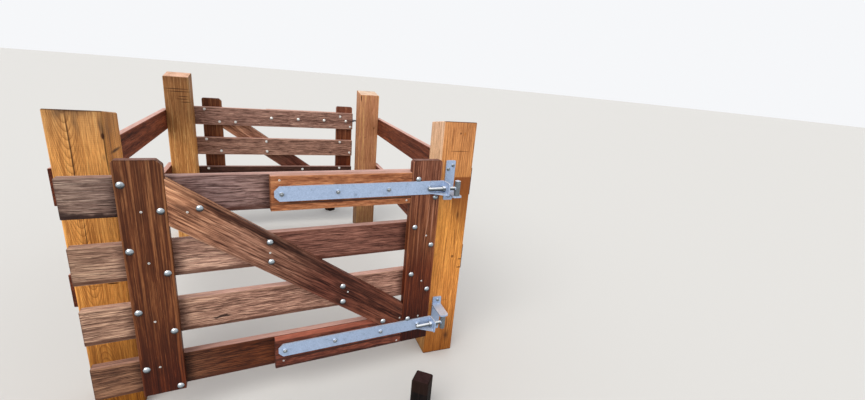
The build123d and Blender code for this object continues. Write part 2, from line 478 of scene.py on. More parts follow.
        drift = wiring.sum("SUBTRACT", wiring.noise(grain, (9.0, 9.0, 9.0), shift + 6.0, 3.0), 0.5)
        for mark in self.marks:
            kind = "MULTIPLY" if mark.deepening else "MIX"
            colour = wiring.blend(mark.share(wiring, parts, drift, place.hand()), colour, mark.colour, kind)
        colour = self.bleached_and_skylit_top(wiring, colour, broad, narrow, parts[0], half.x)
        height = wiring.times(narrow, 0.7)
        for part, lift in ((fibre, 0.25), (dash, -0.3), (rings, -0.15), (arris_wear_and_highlight, -0.4)):
            height = wiring.scaled(part, lift, height)
        rough = wiring.band(broad, 0.3, 0.7, self.roughness + 0.1, self.roughness - 0.08)
        return wiring.finish(colour, rough, height, self.bump, specular=self.gloss)

    def stains(self, wiring: Wiring, place: Link, bolts: Sequence[tuple[float, float]]) -> Link:
        """The dark stains that run along the grain from each bolt and screw.

        Args:
            wiring: the material's nodes.
            place: the timber's own coordinates.
            bolts: where they are, along and across.

        Returns:
            How stained each point is, from 0 to 1.
        """
        stretch = (1 / self.stain_reach[0], 1 / self.stain_reach[1], 0.0)
        nearest: Link | None = None
        for along, across in bolts:
            offset = wiring.vector("SUBTRACT", place, (along, across, 0.0))
            reach = wiring.vector("LENGTH", wiring.vector("MULTIPLY", offset, stretch))
            nearest = reach if nearest is None else wiring.sum("MINIMUM", nearest, reach)
        return wiring.band(nearest, 0.55, 1.15, self.stain_strength, 0.0)

    def edges(self, wiring: Wiring, colour: Link, parts: Sequence[Link], half: Vector,
              narrow: Link) -> tuple[Link, Link]:
        """Makes the long arrises paler, partly wear and partly a painted highlight, and the two cut ends
        darker.

        Args:
            wiring: the material's nodes.
            colour: the colour so far.
            parts: the distances along, across and through the timber.
            half: half the timber's size.
            narrow: the fine streaks, which make the wear ragged.

        Returns:
            The colour, and how pale each point's arris is: partly wear, partly painted highlight.
        """
        margin, raggedness, cut_end = 0.005, 0.006, (0.0005, 0.006)
        gaps = [wiring.sum("SUBTRACT", size, wiring.sum("ABSOLUTE", part))
                for size, part in zip((half.y, half.z), parts[1:3])]
        ragged = wiring.scaled(narrow, -raggedness, wiring.sum("ADD", *gaps))
        # Pale arrises: partly rubbed wear, partly a painted highlight along the edges.
        arris_wear_and_highlight = wiring.band(ragged, 0.0, margin, 1.0, 0.0)
        colour = wiring.blend(wiring.times(arris_wear_and_highlight, self.edge), colour, self.pale)
        end_gap = wiring.sum("SUBTRACT", half.x, wiring.sum("ABSOLUTE", parts[0]))
        end = wiring.band(end_gap, *cut_end, self.end_dark, 0.0)
        return wiring.blend(end, colour, self.end_colour), arris_wear_and_highlight

    def bleached_and_skylit_top(self, wiring: Wiring, colour: Link, broad: Link, narrow: Link, run: Link,
                      half: float) -> Link:
        """Lightens the faces turned to the sky by a share that changes along the grain: partly bleaching of
        the wood, partly painted skylight.

        Args:
            wiring: the material's nodes.
            colour: the colour so far.
            broad, narrow: the streaks, which make the bleaching patchy.
            run: the distance along the timber.
            half: half its length.

        Returns:
            The colour, with its upward faces lightened.
        """
        turned_up, streak = (0.8, 0.95), 0.72
        up = wiring.node("SeparateXYZ", {0: wiring.node("NewGeometry").outputs["Normal"]}).outputs[2]
        patchy = wiring.times(wiring.band(up, *turned_up), wiring.band(broad, 0.2, 0.65, 0.6, 1.0))
        reached = wiring.band(run, -0.9 * half, 0.1 * half, *(self.top_share * end for end in self.top_ends))
        streaked = tuple(streak * channel for channel in self.top)
        # Top colour: partly bleaching of the wood, partly a painted skylight on faces turned up.
        bleach_and_skylight = wiring.blend(wiring.band(narrow, 0.35, 0.65), streaked, self.top)
        return wiring.blend(wiring.times(patchy, reached), colour, bleach_and_skylight)


@dataclass(frozen=True)
class Metal:
    """A zinc-coated steel finish: its tone, how mottled and how shiny it is, its grime, and its painted
    light.

    sky is the painted reflection of the sky that its upward faces take on, and ground the painted shade
    on its downward ones, both by the shares lit and shaded; horizon is where that painted shade begins.
    """

    bright: Colour
    dull: Colour
    grime: Colour
    cell: float = 0.006
    metallic: float = 0.55
    roughness: float = 0.42
    bump: float = 0.00012
    mottle: float = 0.4
    sky: Colour = seen(238, 242, 246)
    ground: Colour = seen(52, 54, 58)
    lit: float = 0.8
    shaded: float = 0.75
    horizon: float = -0.25

    def material(self, name: str) -> bpy.types.Material:
        """Builds the metal, with spangle, blotches and grime, and a painted highlight above and painted shade
        below.

        Args:
            name: the material's name.

        Returns:
            The material, on Object coordinates.
        """
        wiring = Wiring(name)
        place = wiring.node("TexCoord").outputs["Object"]
        spangle = wiring.node("TexVoronoi", {"Vector": place, "Scale": 1 / self.cell, "Randomness": 1.0})
        flake = wiring.node("SeparateColor", {0: spangle.outputs["Color"]}).outputs[0]
        blotches, specks = (35.0, 35.0, 35.0), (420.0, 420.0, 420.0)
        cloud = wiring.noise(place, blotches, 3.0, 4.0, 0.6)
        speck = wiring.noise(place, specks, 8.0, 2.0, 0.6)
        tone = wiring.scaled(flake, 0.30, wiring.times(cloud, self.mottle))
        tone = wiring.scaled(speck, 0.6 - self.mottle, tone)
        colour = wiring.ramp(tone, ((0.22, self.dull), (0.68, self.bright)))
        dirt = wiring.times(wiring.band(cloud, 0.42, 0.3), wiring.band(speck, 0.45, 0.6, 0.1, 0.5))
        colour = wiring.blend(dirt, colour, self.grime)
        up = wiring.node("SeparateXYZ", {0: wiring.node("NewGeometry").outputs["Normal"]}).outputs[2]
        # Painted highlight: faces turned up blend towards the colour of the sky that they would reflect.
        colour = wiring.blend(wiring.band(up, 0.3, 0.85, 0.0, self.lit), colour, self.sky)
        # Painted shade: faces turned down blend towards the dark ground colour.
        under = wiring.band(up, self.horizon, self.horizon - 0.45, 0.0, self.shaded)
        colour = wiring.blend(under, colour, self.ground)
        rough = wiring.scaled(flake, 0.14, self.roughness)
        height = wiring.scaled(speck, 0.5, flake)
        return wiring.finish(colour, rough, height, self.bump, self.metallic)


def dress(thing: bpy.types.Object, material: bpy.types.Material) -> None:
    """Gives an object its only material.

    Args:
        thing: the piece or node.
        material: its material.
    """
    if not thing.material_slots:
        thing.data.materials.append(material)
    for holder in thing.material_slots:
        holder.link = "OBJECT"
        holder.material = material


def lathe(profile: Sequence[tuple[float, float]], steps: int) -> bmesh.types.BMesh:
    """Turns a profile about the Z axis.

    Args:
        profile: radius and height of each corner, from the axis and back to it.
        steps: how many facets go round.

    Returns:
        A closed form, with its normals outward.
    """
    form = bmesh.new()
    points = [form.verts.new((radius, 0.0, height)) for radius, height in profile]
    edges = [form.edges.new(pair) for pair in zip(points, points[1:])]
    bmesh.ops.spin(form, geom=points + edges, cent=(0, 0, 0), axis=(0, 0, 1), angle=math.tau,
                   steps=steps, use_merge=True)
    bmesh.ops.remove_doubles(form, verts=form.verts, dist=1e-6)
    bmesh.ops.recalc_face_normals(form, faces=form.faces)
    return form


def hexagon(across_flats: float, height: float, ease: float) -> bmesh.types.BMesh:
    """A hexagonal prism on the ground plane, with its upper corners eased.

    Args:
        across_flats: its width from flat to flat.
        height: its height.
        ease: how much the corners lose.

    Returns:
        The form.
    """
    form = bmesh.new()
    radius = across_flats / math.sqrt(3)
    bmesh.ops.create_cone(form, cap_ends=True, segments=6, radius1=radius, radius2=radius, depth=height)
    bmesh.ops.translate(form, verts=form.verts, vec=(0, 0, height / 2))
    upper = [v for v in form.verts if v.co.z > height / 2]
    bmesh.ops.bevel(form, geom=upper, offset=ease, affect="VERTICES", segments=1, profile=0.5, material=-1)
    return form


def tuck_in(form: bmesh.types.BMesh, other: bmesh.types.BMesh, place: Matrix) -> None:
    """Adds another form to a form, and frees it.

    Args:
        form: the form that grows.
        other: the form that goes in.
        place: where it goes.
    """
    spare = bpy.data.meshes.new("spare")
    bmesh.ops.transform(other, matrix=place, verts=other.verts)
    other.to_mesh(spare)
    other.free()
    form.from_mesh(spare)
    bpy.data.meshes.remove(spare)


def facing(point: Sequence[float], direction: Sequence[float], roll: float = 0.0) -> Matrix:
    """A placement whose Z axis points along direction, turned about it by roll."""
    turn = Vector(direction).to_track_quat("Z", "Y").to_matrix().to_4x4()
    return Matrix.Translation(Vector(point)) @ turn @ Matrix.Rotation(roll, 4, "Z")


def repeated(name: str, shape: bmesh.types.BMesh, places: Iterable[Matrix]) -> bpy.types.Object:
    """Repeats a small shape at each place, joined into one piece.

    Args:
        name: the new object's name.
        shape: the shape, which is freed.
        places: one placement each.

    Returns:
        The object, at the origin, with its place in its mesh.
    """
    pattern = bpy.data.meshes.new("pattern")
    shape.to_mesh(pattern)
    shape.free()
    form = bmesh.new()
    for place in places:
        first = len(form.verts)
        form.from_mesh(pattern)
        form.verts.ensure_lookup_table()
        bmesh.ops.transform(form, matrix=place, verts=form.verts[first:])
    bpy.data.meshes.remove(pattern)
    return as_object(name, form)


def as_object(name: str, form: bmesh.types.BMesh, crease: float = 35.0) -> bpy.types.Object:
    """Makes a form an object in the scene, with its normals outward.

    Args:
        name: the object's name.
        form: the form, which is freed.
        crease: edges sharper than this many degrees stay sharp.

    Returns:
        The object, at the origin.
    """
    bmesh.ops.recalc_face_normals(form, faces=form.faces)
    mesh = bpy.data.meshes.new(name)
    for face in form.faces:
        face.smooth = True
    form.to_mesh(mesh)
    form.free()
    mesh.set_sharp_from_angle(angle=math.radians(crease))
    thing = bpy.data.objects.new(name, mesh)
    bpy.context.scene.collection.objects.link(thing)
    LOG.info("%s: %d faces", name, len(mesh.polygons))
    return thing


def hang(thing: bpy.types.Object, metal: bpy.types.Material, body: str) -> None:
    """Dresses a steel piece and hangs it on the body that it moves with."""
    dress(thing, metal)
    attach(thing, body)


X, Y, Z = (Vector(axis) for axis in ((1, 0, 0), (0, 1, 0), (0, 0, 1)))
OUT = -Y


class End(Enum):
    """The two gates of the pen."""

    FRONT = "front"
    BACK = "back"


class Layout:
    """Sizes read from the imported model, with every gate piece given as it lies on the closed front gate."""

    def __init__(self) -> None:
        """Finds the mirror line between the gates, the hinge line, and how far the front gate is ajar."""
        front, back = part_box("front_hinge_post"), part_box("back_hinge_post")
        self.mirror_y = (front[0].y + back[1].y) / 2
        joint = next(j for j in frame["joints"] if j["name"] == "front_gate_hinge")
        self.pin = Vector(joint["pos_m"])
        self.ajar = -math.radians(joint["range_deg"][0])

    def closed(self, name: str) -> tuple[Vector, Vector]:
        """The box of a front gate piece with its gate closed.

        Args:
            name: the piece's name, without its gate.

        Returns:
            Its lowest and its highest corner.
        """
        low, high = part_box(f"back_{name}")
        flip = 2 * self.mirror_y
        return Vector((low.x, flip - high.y, low.z)), Vector((high.x, flip - low.y, high.z))

    def swing(self, end: End) -> Matrix:
        """Moves what was made on the closed front gate to where it rests.

        Args:
            end: the gate that it goes to.

        Returns:
            The move, which mirrors it for the back gate.
        """
        if end is End.BACK:
            return Matrix.Translation((0, 2 * self.mirror_y, 0)) @ Matrix.Scale(-1, 4, (0, 1, 0))
        about = Matrix.Translation(self.pin)
        return about @ Matrix.Rotation(self.ajar, 4, "Z") @ about.inverted()

    def timber(self, end: End, name: str, along: Vector, across: Vector, size: Vector | None) -> Place:
        """How a gate timber lies at rest.

        Args:
            end: its gate.
            name: its name, without its gate.
            along, across: the ways that its grain and its width run on the closed front gate.
            size: its size that way, where its box doesn't give it.

        Returns:
            The place, with its front towards the gate's outer side.
        """
        place = Place.between(*self.closed(name), along, across, size)
        move = self.swing(end)
        if end is End.BACK:
            return replace(place, middle=move @ place.middle, front=-OUT)
        turn = move.to_3x3()
        return replace(place, middle=move @ place.middle, along=turn @ along, across=turn @ across, front=OUT)


@dataclass(frozen=True)
class Steel:
    """The hinges' own sizes, by which the screws, nuts, threads and welds are placed.

    flange_nut is the room that a nut takes beside the flange, tube_room how far the thread ends short of
    the pin's middle, and lug_rise how far the lug stands from its end of the plate.
    """

    strap: float = 0.006
    plate: float = 0.006
    lug: float = 0.008
    lug_rise: float = 0.046
    shank_radius: float = 0.008
    tube_radius: float = 0.014
    tube_room: float = 0.016
    flange_nut: float = 0.013
    gusset: float = 0.005
    gusset_length: float = 0.080
    gusset_drop: float = 0.023

    def plate_face(self, bracket: str, out: Vector) -> float:
        """The y of the outer face of a bracket's plate, which lies on its post."""
        low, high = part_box(bracket)
        return (high.y if out.y < 0 else low.y) + out.y * self.plate


class Finishes:
    """The woods and metals of the gate, each a change on one of a few sawn timbers."""

    crack, knot, damp, grey = seen(56, 28, 12), seen(70, 36, 16), seen(119, 60, 23), seen(84, 62, 48)
    rust, arris, ink, glow = seen(176, 108, 50), seen(70, 34, 22), seen(40, 24, 22), seen(186, 132, 104)
    streak, shadow, scorch = seen(70, 40, 30), seen(44, 24, 20), seen(118, 62, 34)
    # Painted shading of a whole side of a post: its tone multiplies that side, darker where it is in shade
    # and lighter where it is lit.
    painted_side_lighting = Mark(0.0, 0.0, 3.0, 0.172, (0.9, 0.8, 0.68), 1.0, 0.04, 0.0, face=Face.RIGHT, square=True,
                     deepening=True)
    lap_shade = Mark(0.0, 0.0, 0.09, 0.34, (0.34, 0.28, 0.28), 0.9, 1.0, 0.06, deepening=True)

    post = Timber(
        dark=seen(128, 76, 34), body=seen(202, 138, 76), pale=seen(226, 168, 100), contrast=0.62, broad=18,
        narrow=150, stretch=40, waves=0.008, detail=0.72, dashes=120, dash_stretch=28, dash_depth=0.42,
        ring_gap=0.010, ring_depth=0.45, ring_lean=0.05, pith=(-0.03, -0.03), saw=0.16,
        top=seen(236, 206, 180), top_share=0.9, edge=0.15, end_dark=0.85, roughness=0.6, bump=0.001)
    rail = Timber(
        dark=seen(58, 36, 31), body=seen(132, 99, 88), pale=seen(178, 144, 129), broad=26, narrow=240,
        stretch=24, waves=0.014, detail=0.74, dashes=240, dash_stretch=32, dash_depth=0.75, ring_gap=0.011,
        ring_depth=0.1, ring_lean=0.02, pith=(0.05, -0.06), top=seen(228, 180, 166), top_ends=(0.3, 1.0))
    stile = Timber(
        dark=seen(70, 34, 22), body=seen(112, 64, 44), pale=seen(176, 122, 92), broad=30, narrow=170,
        stretch=60, waves=0.007, detail=0.72, dashes=150, dash_stretch=60, dash_depth=0.5, glints=0.7,
        ring_gap=0.016, ring_depth=0.2, ring_lean=0.01, pith=(0.02, -0.05), contrast=0.7,
        top=seen(140, 98, 86), edge=0.4, roughness=0.5, bump=0.0009, stain_strength=0.3)
    brace = Timber(
        dark=seen(60, 30, 20), body=seen(146, 102, 80), pale=seen(196, 150, 122), broad=28, narrow=150,
        stretch=20, waves=0.008, contrast=0.9, detail=0.65, dashes=150, dash_stretch=30, dash_depth=0.75,
        ring_gap=0.012, ring_depth=0.15, ring_lean=0.015, pith=(-0.05, -0.05), stain_strength=0.4, edge=0.4,
        tints=((0.0, (1.66, 1.6, 1.4)), (0.3, (1.06, 1.05, 1.10)), (0.6, (0.39, 0.24, 0.24)),
               (1.0, (0.50, 0.31, 0.27))),
        marks=(
            Mark(0.05, 0.050, 2.4, 0.076, (0.30, 0.22, 0.20), 0.6, 0.7, 0.08, 0.03, deepening=True),
            Mark(-0.27, 0.062, 0.80, 0.046, (0.24, 0.17, 0.15), 0.95, 0.6, 0.04, 0.01, deepening=True),
            Mark(-0.55, 0.012, 0.14, 0.030, streak, 0.6, 1.0, 0.03),
            Mark(-0.20, -0.070, 1.0, 0.018, streak, 0.4, 1.0, 0.03)))
    packer = Timber(
        dark=seen(104, 54, 30), body=seen(168, 106, 70), pale=seen(204, 142, 98), broad=24, narrow=130,
        stretch=7, contrast=0.75, detail=0.65, dash_depth=0.45, dashes=130, top=seen(206, 158, 142),
        top_share=0.9, stain=seen(92, 46, 26))
    side = Timber(
        dark=seen(60, 32, 24), body=seen(116, 70, 54), pale=seen(158, 104, 80), broad=24, narrow=130,
        detail=0.6, stretch=18, waves=0.008, contrast=0.85, dashes=110, ring_gap=0.014, ring_depth=0.15,
        dash_stretch=22, top=seen(230, 182, 168), top_share=0.9)
    stop = Timber(
        dark=seen(9, 6, 6), body=seen(15, 9, 9), pale=seen(28, 18, 17), broad=40, narrow=120,
        top=seen(60, 38, 38), top_share=0.7, edge=0.2, gloss=0.12, roughness=0.8)
    # The sky, ground, lit, shaded and horizon of these metals paint a highlight on faces turned up and shade
    # on faces turned down.
    galvanised = Metal(
        seen(184, 202, 230), seen(148, 168, 198), seen(96, 104, 118), cell=0.003, mottle=0.2, roughness=0.5,
        lit=0.5)
    zinc = Metal(
        seen(184, 194, 202), seen(128, 138, 146), seen(84, 88, 94), cell=0.0025, metallic=0.85,
        roughness=0.22, bump=0.00003, sky=seen(244, 248, 250), horizon=0.1, shaded=0.85)
    eye = Metal(
        seen(136, 144, 150), seen(84, 92, 96), seen(56, 58, 60), cell=0.004, mottle=0.3, metallic=0.4,
        roughness=0.5, sky=seen(246, 248, 250), ground=seen(30, 32, 34), lit=0.95, shaded=0.9, horizon=0.12)
    nut = Metal(
        seen(168, 176, 182), seen(112, 120, 126), seen(60, 62, 64), cell=0.0025, metallic=0.7, roughness=0.3,
        sky=seen(248, 250, 252), ground=seen(30, 34, 36), lit=1.0, shaded=0.95, horizon=0.15)
    screw = Metal(
        seen(240, 240, 236), seen(206, 208, 206), seen(120, 116, 110), cell=0.0025, metallic=0.4,
        roughness=0.3, bump=0.00003)
    posts = {
        "front_latch_post": replace(
            post, pith=(-0.022, -0.084), ring_lean=0.30, ring_turn=-0.17, ring_depth=0.75,
            ring_gap=0.0095, ring_reach=0.055, ring_curve=0.045, saw=0.22,
            tints=((0.0, (0.46, 0.36, 0.10)), (0.5, (1.28, 1.24, 0.95)), (0.85, (1.31, 1.38, 1.34)),
                   (1.0, (0.97, 1.11, 1.32))),
            marks=(
                # Painted shade on the post's right side.
                painted_side_lighting,
                Mark(0.66, 0.01, 0.07, 0.20, grey, 0.55, 1.0, 0.08),
                Mark(0.655, -0.040, 0.10, 0.06, grey, 0.6, 1.0, 0.05),
                Mark(0.62, 0.010, 0.13, 0.026, grey, 0.45, 1.0, 0.05),
                Mark(0.60, 0.080, 0.15, 0.022, grey, 0.75, 1.0, 0.02),
                Mark(0.50, -0.021, 0.46, 0.006, crack, waver=0.006, lean=-0.012),
                Mark(0.11, -0.021, 0.40, 0.005, crack, waver=0.006, lean=-0.012),
                Mark(0.571, 0.081, 0.032, 0.012, crack, 0.97),
                Mark(0.49, 0.076, 0.05, 0.020, grey, 0.35, 1.0, 0.03),
                Mark(0.50, 0.083, 0.16, 0.007, knot, 0.5, 0.8),
                Mark(0.53, 0.083, 0.30, 0.005, crack, 0.7, waver=0.0),
                Mark(0.660, 0.0, 0.014, 0.172, crack, 0.6, 0.9, 0.06),
                Mark(0.55, -0.045, 0.30, 0.024, grey, 0.6, 1.0, 0.03, face=Face.RIGHT),
                Mark(0.60, 0.03, 0.20, 0.016, knot, 0.45, 1.0, 0.03, face=Face.RIGHT),
                Mark(0.50, 0.0, 0.020, 0.172, crack, 0.9, 0.8, 0.08, face=Face.RIGHT),
                Mark(0.47, -0.04, 0.05, 0.07, grey, 0.4, 1.0, 0.06, face=Face.RIGHT),
                Mark(-0.035, 0.040, 0.008, 0.060, crack, 0.95, waver=0.03),
                Mark(-0.042, -0.02, 0.004, 0.070, crack, 0.5, waver=0.03),
            )),
        "front_hinge_post": replace(
            post, pith=(0.05, -0.082), ring_lean=-0.10, ring_turn=0.25, ring_depth=0.6,
            ring_gap=0.011, ring_reach=0.05,
            tints=((0.0, (0.50, 0.36, 0.18)), (0.25, (1.2, 1.04, 0.78)), (0.6, (1.42, 1.36, 1.0)),
                   (0.85, (1.1, 1.08, 1.26)), (1.0, (1.01, 0.99, 1.24))),
            marks=(
                # Painted bluish skylight on the post's left side.
                replace(painted_side_lighting, face=Face.LEFT, colour=(1.3, 1.86, 3.2)),
                Mark(0.24, 0.070, 0.31, 0.16, damp, 0.85, 0.06, 0.02, square=True, fading=True),
                Mark(0.16, 0.062, 0.36, 0.10, damp, 0.5, 0.9, 0.06),
                Mark(0.525, 0.005, 0.006, 0.14, crack, 0.6, waver=0.02),
                Mark(0.615, 0.002, 0.014, 0.010, crack),
                Mark(0.612, 0.024, 0.022, 0.016, rust, 0.8, waver=0.03),
                Mark(0.18, 0.034, 0.075, 0.024, knot, 0.7, 0.9),
                Mark(0.06, 0.030, 0.20, 0.006, knot, 0.5, waver=0.02, lean=0.06),
                Mark(-0.06, 0.030, 0.022, 0.020, knot, 0.7),
                Mark(-0.08, 0.078, 0.008, 0.030, crack, 0.9),
                Mark(-0.13, 0.076, 0.008, 0.034, crack, 0.9),
                Mark(-0.33, 0.0, 0.006, 0.10, knot, 0.35, waver=0.03),
                Mark(-0.57, 0.045, 0.11, 0.050, knot, 0.55, 0.9, 0.03),
                Mark(-0.57, 0.045, 0.05, 0.022, crack, 0.6, 0.9, 0.03),
            )),
        "back_latch_post": replace(
            post, body=seen(178, 112, 60), top=seen(240, 190, 160), saw=0.3,
            tints=((0.55, (1.25, 1.47, 1.6)), (0.8, (0.60, 0.70, 0.86)), (0.93, (0.65, 0.76, 0.94)),
                   (1.0, (0.46, 0.52, 0.72))),
            marks=(
                Mark(0.682, 0.0, 0.022, 0.172, crack, 0.75, 0.9, 0.06),
                # Painted light on the post's right side.
                replace(painted_side_lighting, colour=(1.32, 1.34, 1.28)),
                Mark(0.572, 0.0, 0.009, 0.22, crack, 0.85, waver=0.03),
                Mark(0.552, 0.02, 0.009, 0.2, crack, 0.85, waver=0.03),
                Mark(0.515, 0.04, 0.009, 0.09, crack, 0.85, waver=0.03),
                Mark(0.495, 0.035, 0.009, 0.1, crack, 0.85, waver=0.03),
                Mark(0.472, 0.055, 0.009, 0.09, crack, 0.85, waver=0.03),
            )),
        "back_hinge_post": replace(
            post, pith=(0.03, -0.05), body=seen(182, 118, 80),
            tints=((0.0, (0.38, 0.45, 0.46)), (0.5, (0.92, 1.02, 1.18)), (1.0, (1.08, 1.24, 1.48))), marks=(
                Mark(0.61, -0.078, 0.07, 0.012, crack, 0.95),
                Mark(0.34, 0.05, 0.03, 0.012, knot),
                Mark(0.25, -0.03, 0.02, 0.010, knot),
            )),
    }
    board_tones = {
        "left_upper_board": (0.92, 0.61, 0.44), "left_lower_board": (0.92, 0.62, 0.44),
        "right_upper_board": (0.78, 0.54, 0.40), "right_lower_board": (0.74, 0.52, 0.40)}
    rail_edges = (Mark(-0.3, -0.069, 2.6, 0.032, arris, 0.75, 0.6, 0.03),
                  Mark(0.0, 0.070, 2.6, 0.016, arris, 0.45, 1.0, 0.02))
    rails = {
        "top_rail": replace(
            rail, tints=((0.0, (0.95, 1.08, 1.08)), (0.3, (0.82, 0.87, 1.02)), (0.5, (1.16, 1.22, 1.34))),
            marks=(Mark(-0.68, -0.068, 0.9, 0.062, ink, 0.85, 0.45, 0.12),)),
        "upper_rail": replace(
            rail, contrast=0.85, tints=((0.0, (1.34, 1.39, 1.2)), (0.3, (2.0, 2.07, 1.93)),
                                        (0.5, (0.92, 0.68, 0.62)), (1.0, (0.64, 0.42, 0.37)))),
        "lower_rail": replace(
            rail, contrast=0.85,
            tints=((0.0, (1.82, 1.92, 1.66)), (0.5, (1.8, 1.74, 1.58)), (1.0, (1.78, 1.68, 1.58))),
            marks=(Mark(-0.253, -0.027, 0.095, 0.017, ink, 0.95, waver=0.08),
                   Mark(-0.24, -0.062, 0.16, 0.016, ink, 0.6, 1.0, 0.05))),
        "bottom_rail": replace(
            rail, tints=((0.0, (0.86, 0.73, 0.54)), (0.4, (0.39, 0.17, 0.07)), (1.0, (0.34, 0.15, 0.06)))),
    }
    back_rail_tones = ((1.26, 1.22, 1.18), (1.3, 1.24, 1.14), (0.23, 0.16, 0.14), (0.23, 0.16, 0.14))
    stiles = {
        "latch_stile": replace(
            stile, tints=((0.0, (0.36, 0.16, 0.07)), (0.5, (0.71, 0.60, 0.39)), (1.0, (0.74, 0.70, 0.52)))),
        "hinge_stile": replace(
            stile, tints=((0.0, (0.16, 0.04, 0.01)), (0.4, (0.56, 0.31, 0.19)), (0.6, (0.88, 0.75, 0.57)),
                          (1.0, (1.0, 0.97, 1.03))),
            marks=(Mark(0.17, 0.020, 0.34, 0.010, glow, 0.6, 1.0, lean=-0.06),
                   Mark(0.20, 0.047, 0.36, 0.014, glow, 0.65, 1.0),
                   Mark(0.10, -0.020, 0.40, 0.008, glow, 0.4, 1.0))),
    }
    packers = {
        "upper_packer": replace(packer, marks=(
            Mark(0.15, 0.062, 0.34, 0.036, scorch, 0.6, 1.0, 0.05),
            Mark(-0.16, 0.055, 0.20, 0.030, scorch, 0.4, 1.0, 0.05),
            Mark(0.08, -0.043, 1.2, 0.015, shadow, 0.85, 0.7, 0.0, square=True))),
        "lower_packer": replace(
            packer, dark=seen(52, 24, 18), body=seen(98, 49, 37), pale=seen(146, 82, 62),
            top=seen(196, 112, 88), top_share=0.8, marks=(
                Mark(0.0, -0.070, 1.4, 0.026, shadow, 0.7, waver=0.03),
                Mark(0.08, -0.027, 1.2, 0.015, shadow, 0.85, 0.7, 0.0, square=True))),
    }


@dataclass
class Pen:
    """The four posts, the side boards, and what is fixed to them."""

    steel: Steel = Steel()
    screw_inset: float = 0.030
    screw_stagger: float = 0.02
    screw_sunk: float = 0.0002
    screw_turn: float = 0.7
    coach_turn: float = 0.4
    lug_screw: tuple[float, float] = (0.004, 0.020)
    end_screws: tuple[tuple[float, float], ...] = ((0.012, 0.026), (-0.012, 0.046))
    head_flats: float = 0.013
    head_height: float = 0.006
    head_ease: float = 0.0012
    washer: tuple[tuple[float, float], ...] = (
        (0, -0.002), (0.0085, -0.002), (0.0088, 0.0006), (0.0080, 0.0014), (0, 0.0014))

    def posts(self) -> None:
        """Dresses each post with its own figure, cracks, knots, wet patches and painted side shading."""
        for shift, (name, timber) in enumerate(Finishes.posts.items()):
            place = Place.between(*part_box(name), Z, X)
            dress(frame["nodes"][name], timber.material(name, place, 11.0 * shift + 3.0))

    def boards(self) -> None:
        """Dresses the side boards."""
        for shift, (name, tone) in enumerate(Finishes.board_tones.items()):
            place = Place.between(*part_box(name), Y, Z)
            timber = replace(Finishes.side, tints=((0.5, tone),))
            dress(frame["nodes"][name], timber.material(name, place, 7.0 * shift + 5.0))

    def stops(self) -> None:
        """Dresses the two stop stakes."""
        for shift, end in enumerate(End):
            name = f"{end.value}_gate_stop"
            low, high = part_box(name)
            wood = Finishes.stop.material(name, Place.between(low, high, Z, X, high - low), 5.0 * shift + 8.0)
            dress(frame["nodes"][name], wood)

    def brackets(self, metal: bpy.types.Material) -> None:
        """Dresses the hinge brackets and screws each to its post.

        Args:
            metal: the brackets' zinc.
        """
        places = []
        for end in End:
            out = OUT if end is End.FRONT else Y
            for level in ("upper", "lower"):
                name = f"{end.value}_{level}_bracket"
                dress(frame["nodes"][name], metal)
                places += self.bracket_screws(name, level, out)
        screws = repeated("bracket_screws", self.coach_screw(), places)
        hang(screws, Finishes.nut.material("screw_zinc"), "pen")

    def bracket_screws(self, name: str, level: str, out: Vector) -> list[Matrix]:
        """Where a bracket's three screws sit: one past the lug, and two staggered at the long end.

        Args:
            name: the bracket's node.
            level: upper or lower; a lower bracket is upside down.
            out: the way that it faces.

        Returns:
            One placement for each screw.
        """
        low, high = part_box(name)
        x, y = (low.x + high.x) / 2, self.steel.plate_face(name, out)
        up = 1 if level == "upper" else -1
        short_end, long_end = (low.z, high.z) if up > 0 else (high.z, low.z)
        spots = [(self.lug_screw[0], short_end + up * self.lug_screw[1])]
        spots += [(dx, long_end - up * inset) for dx, inset in self.end_screws]
        return [facing((x + dx, y, z), out, self.coach_turn * i) for i, (dx, z) in enumerate(spots)]

    def coach_screw(self) -> bmesh.types.BMesh:
        """A coach screw's hexagon head on its washer face.

        Returns:
            The form, on the ground plane.
        """
        form = hexagon(self.head_flats, self.head_height, self.head_ease)
        tuck_in(form, lathe(self.washer, 20), Matrix.Identity(4))
        return form

    def board_screws(self, head: bmesh.types.BMesh, metal: bpy.types.Material) -> None:
        """Screws the side boards to their posts, two screws to a post, flush with the board's face.

        Args:
            head: the screw's head.
            metal: its zinc.
        """
        places = []
        front_post, back_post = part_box("front_hinge_post"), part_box("back_hinge_post")
        for side, out in (("left", -X), ("right", X)):
            for level in ("upper", "lower"):
                low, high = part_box(f"{side}_{level}_board")
                x = (low.x if out.x < 0 else high.x) - self.screw_sunk * out.x
                for y_post in ((low.y + front_post[1].y) / 2, (high.y + back_post[0].y) / 2):
                    for i, lift in enumerate((self.screw_inset, high.z - low.z - self.screw_inset)):
                        y = y_post + (self.screw_stagger if i else -self.screw_stagger)
                        places.append(facing((x, y, low.z + lift), out, self.screw_turn * i + y))
        hang(repeated("board_screws", head, places), metal, "pen")


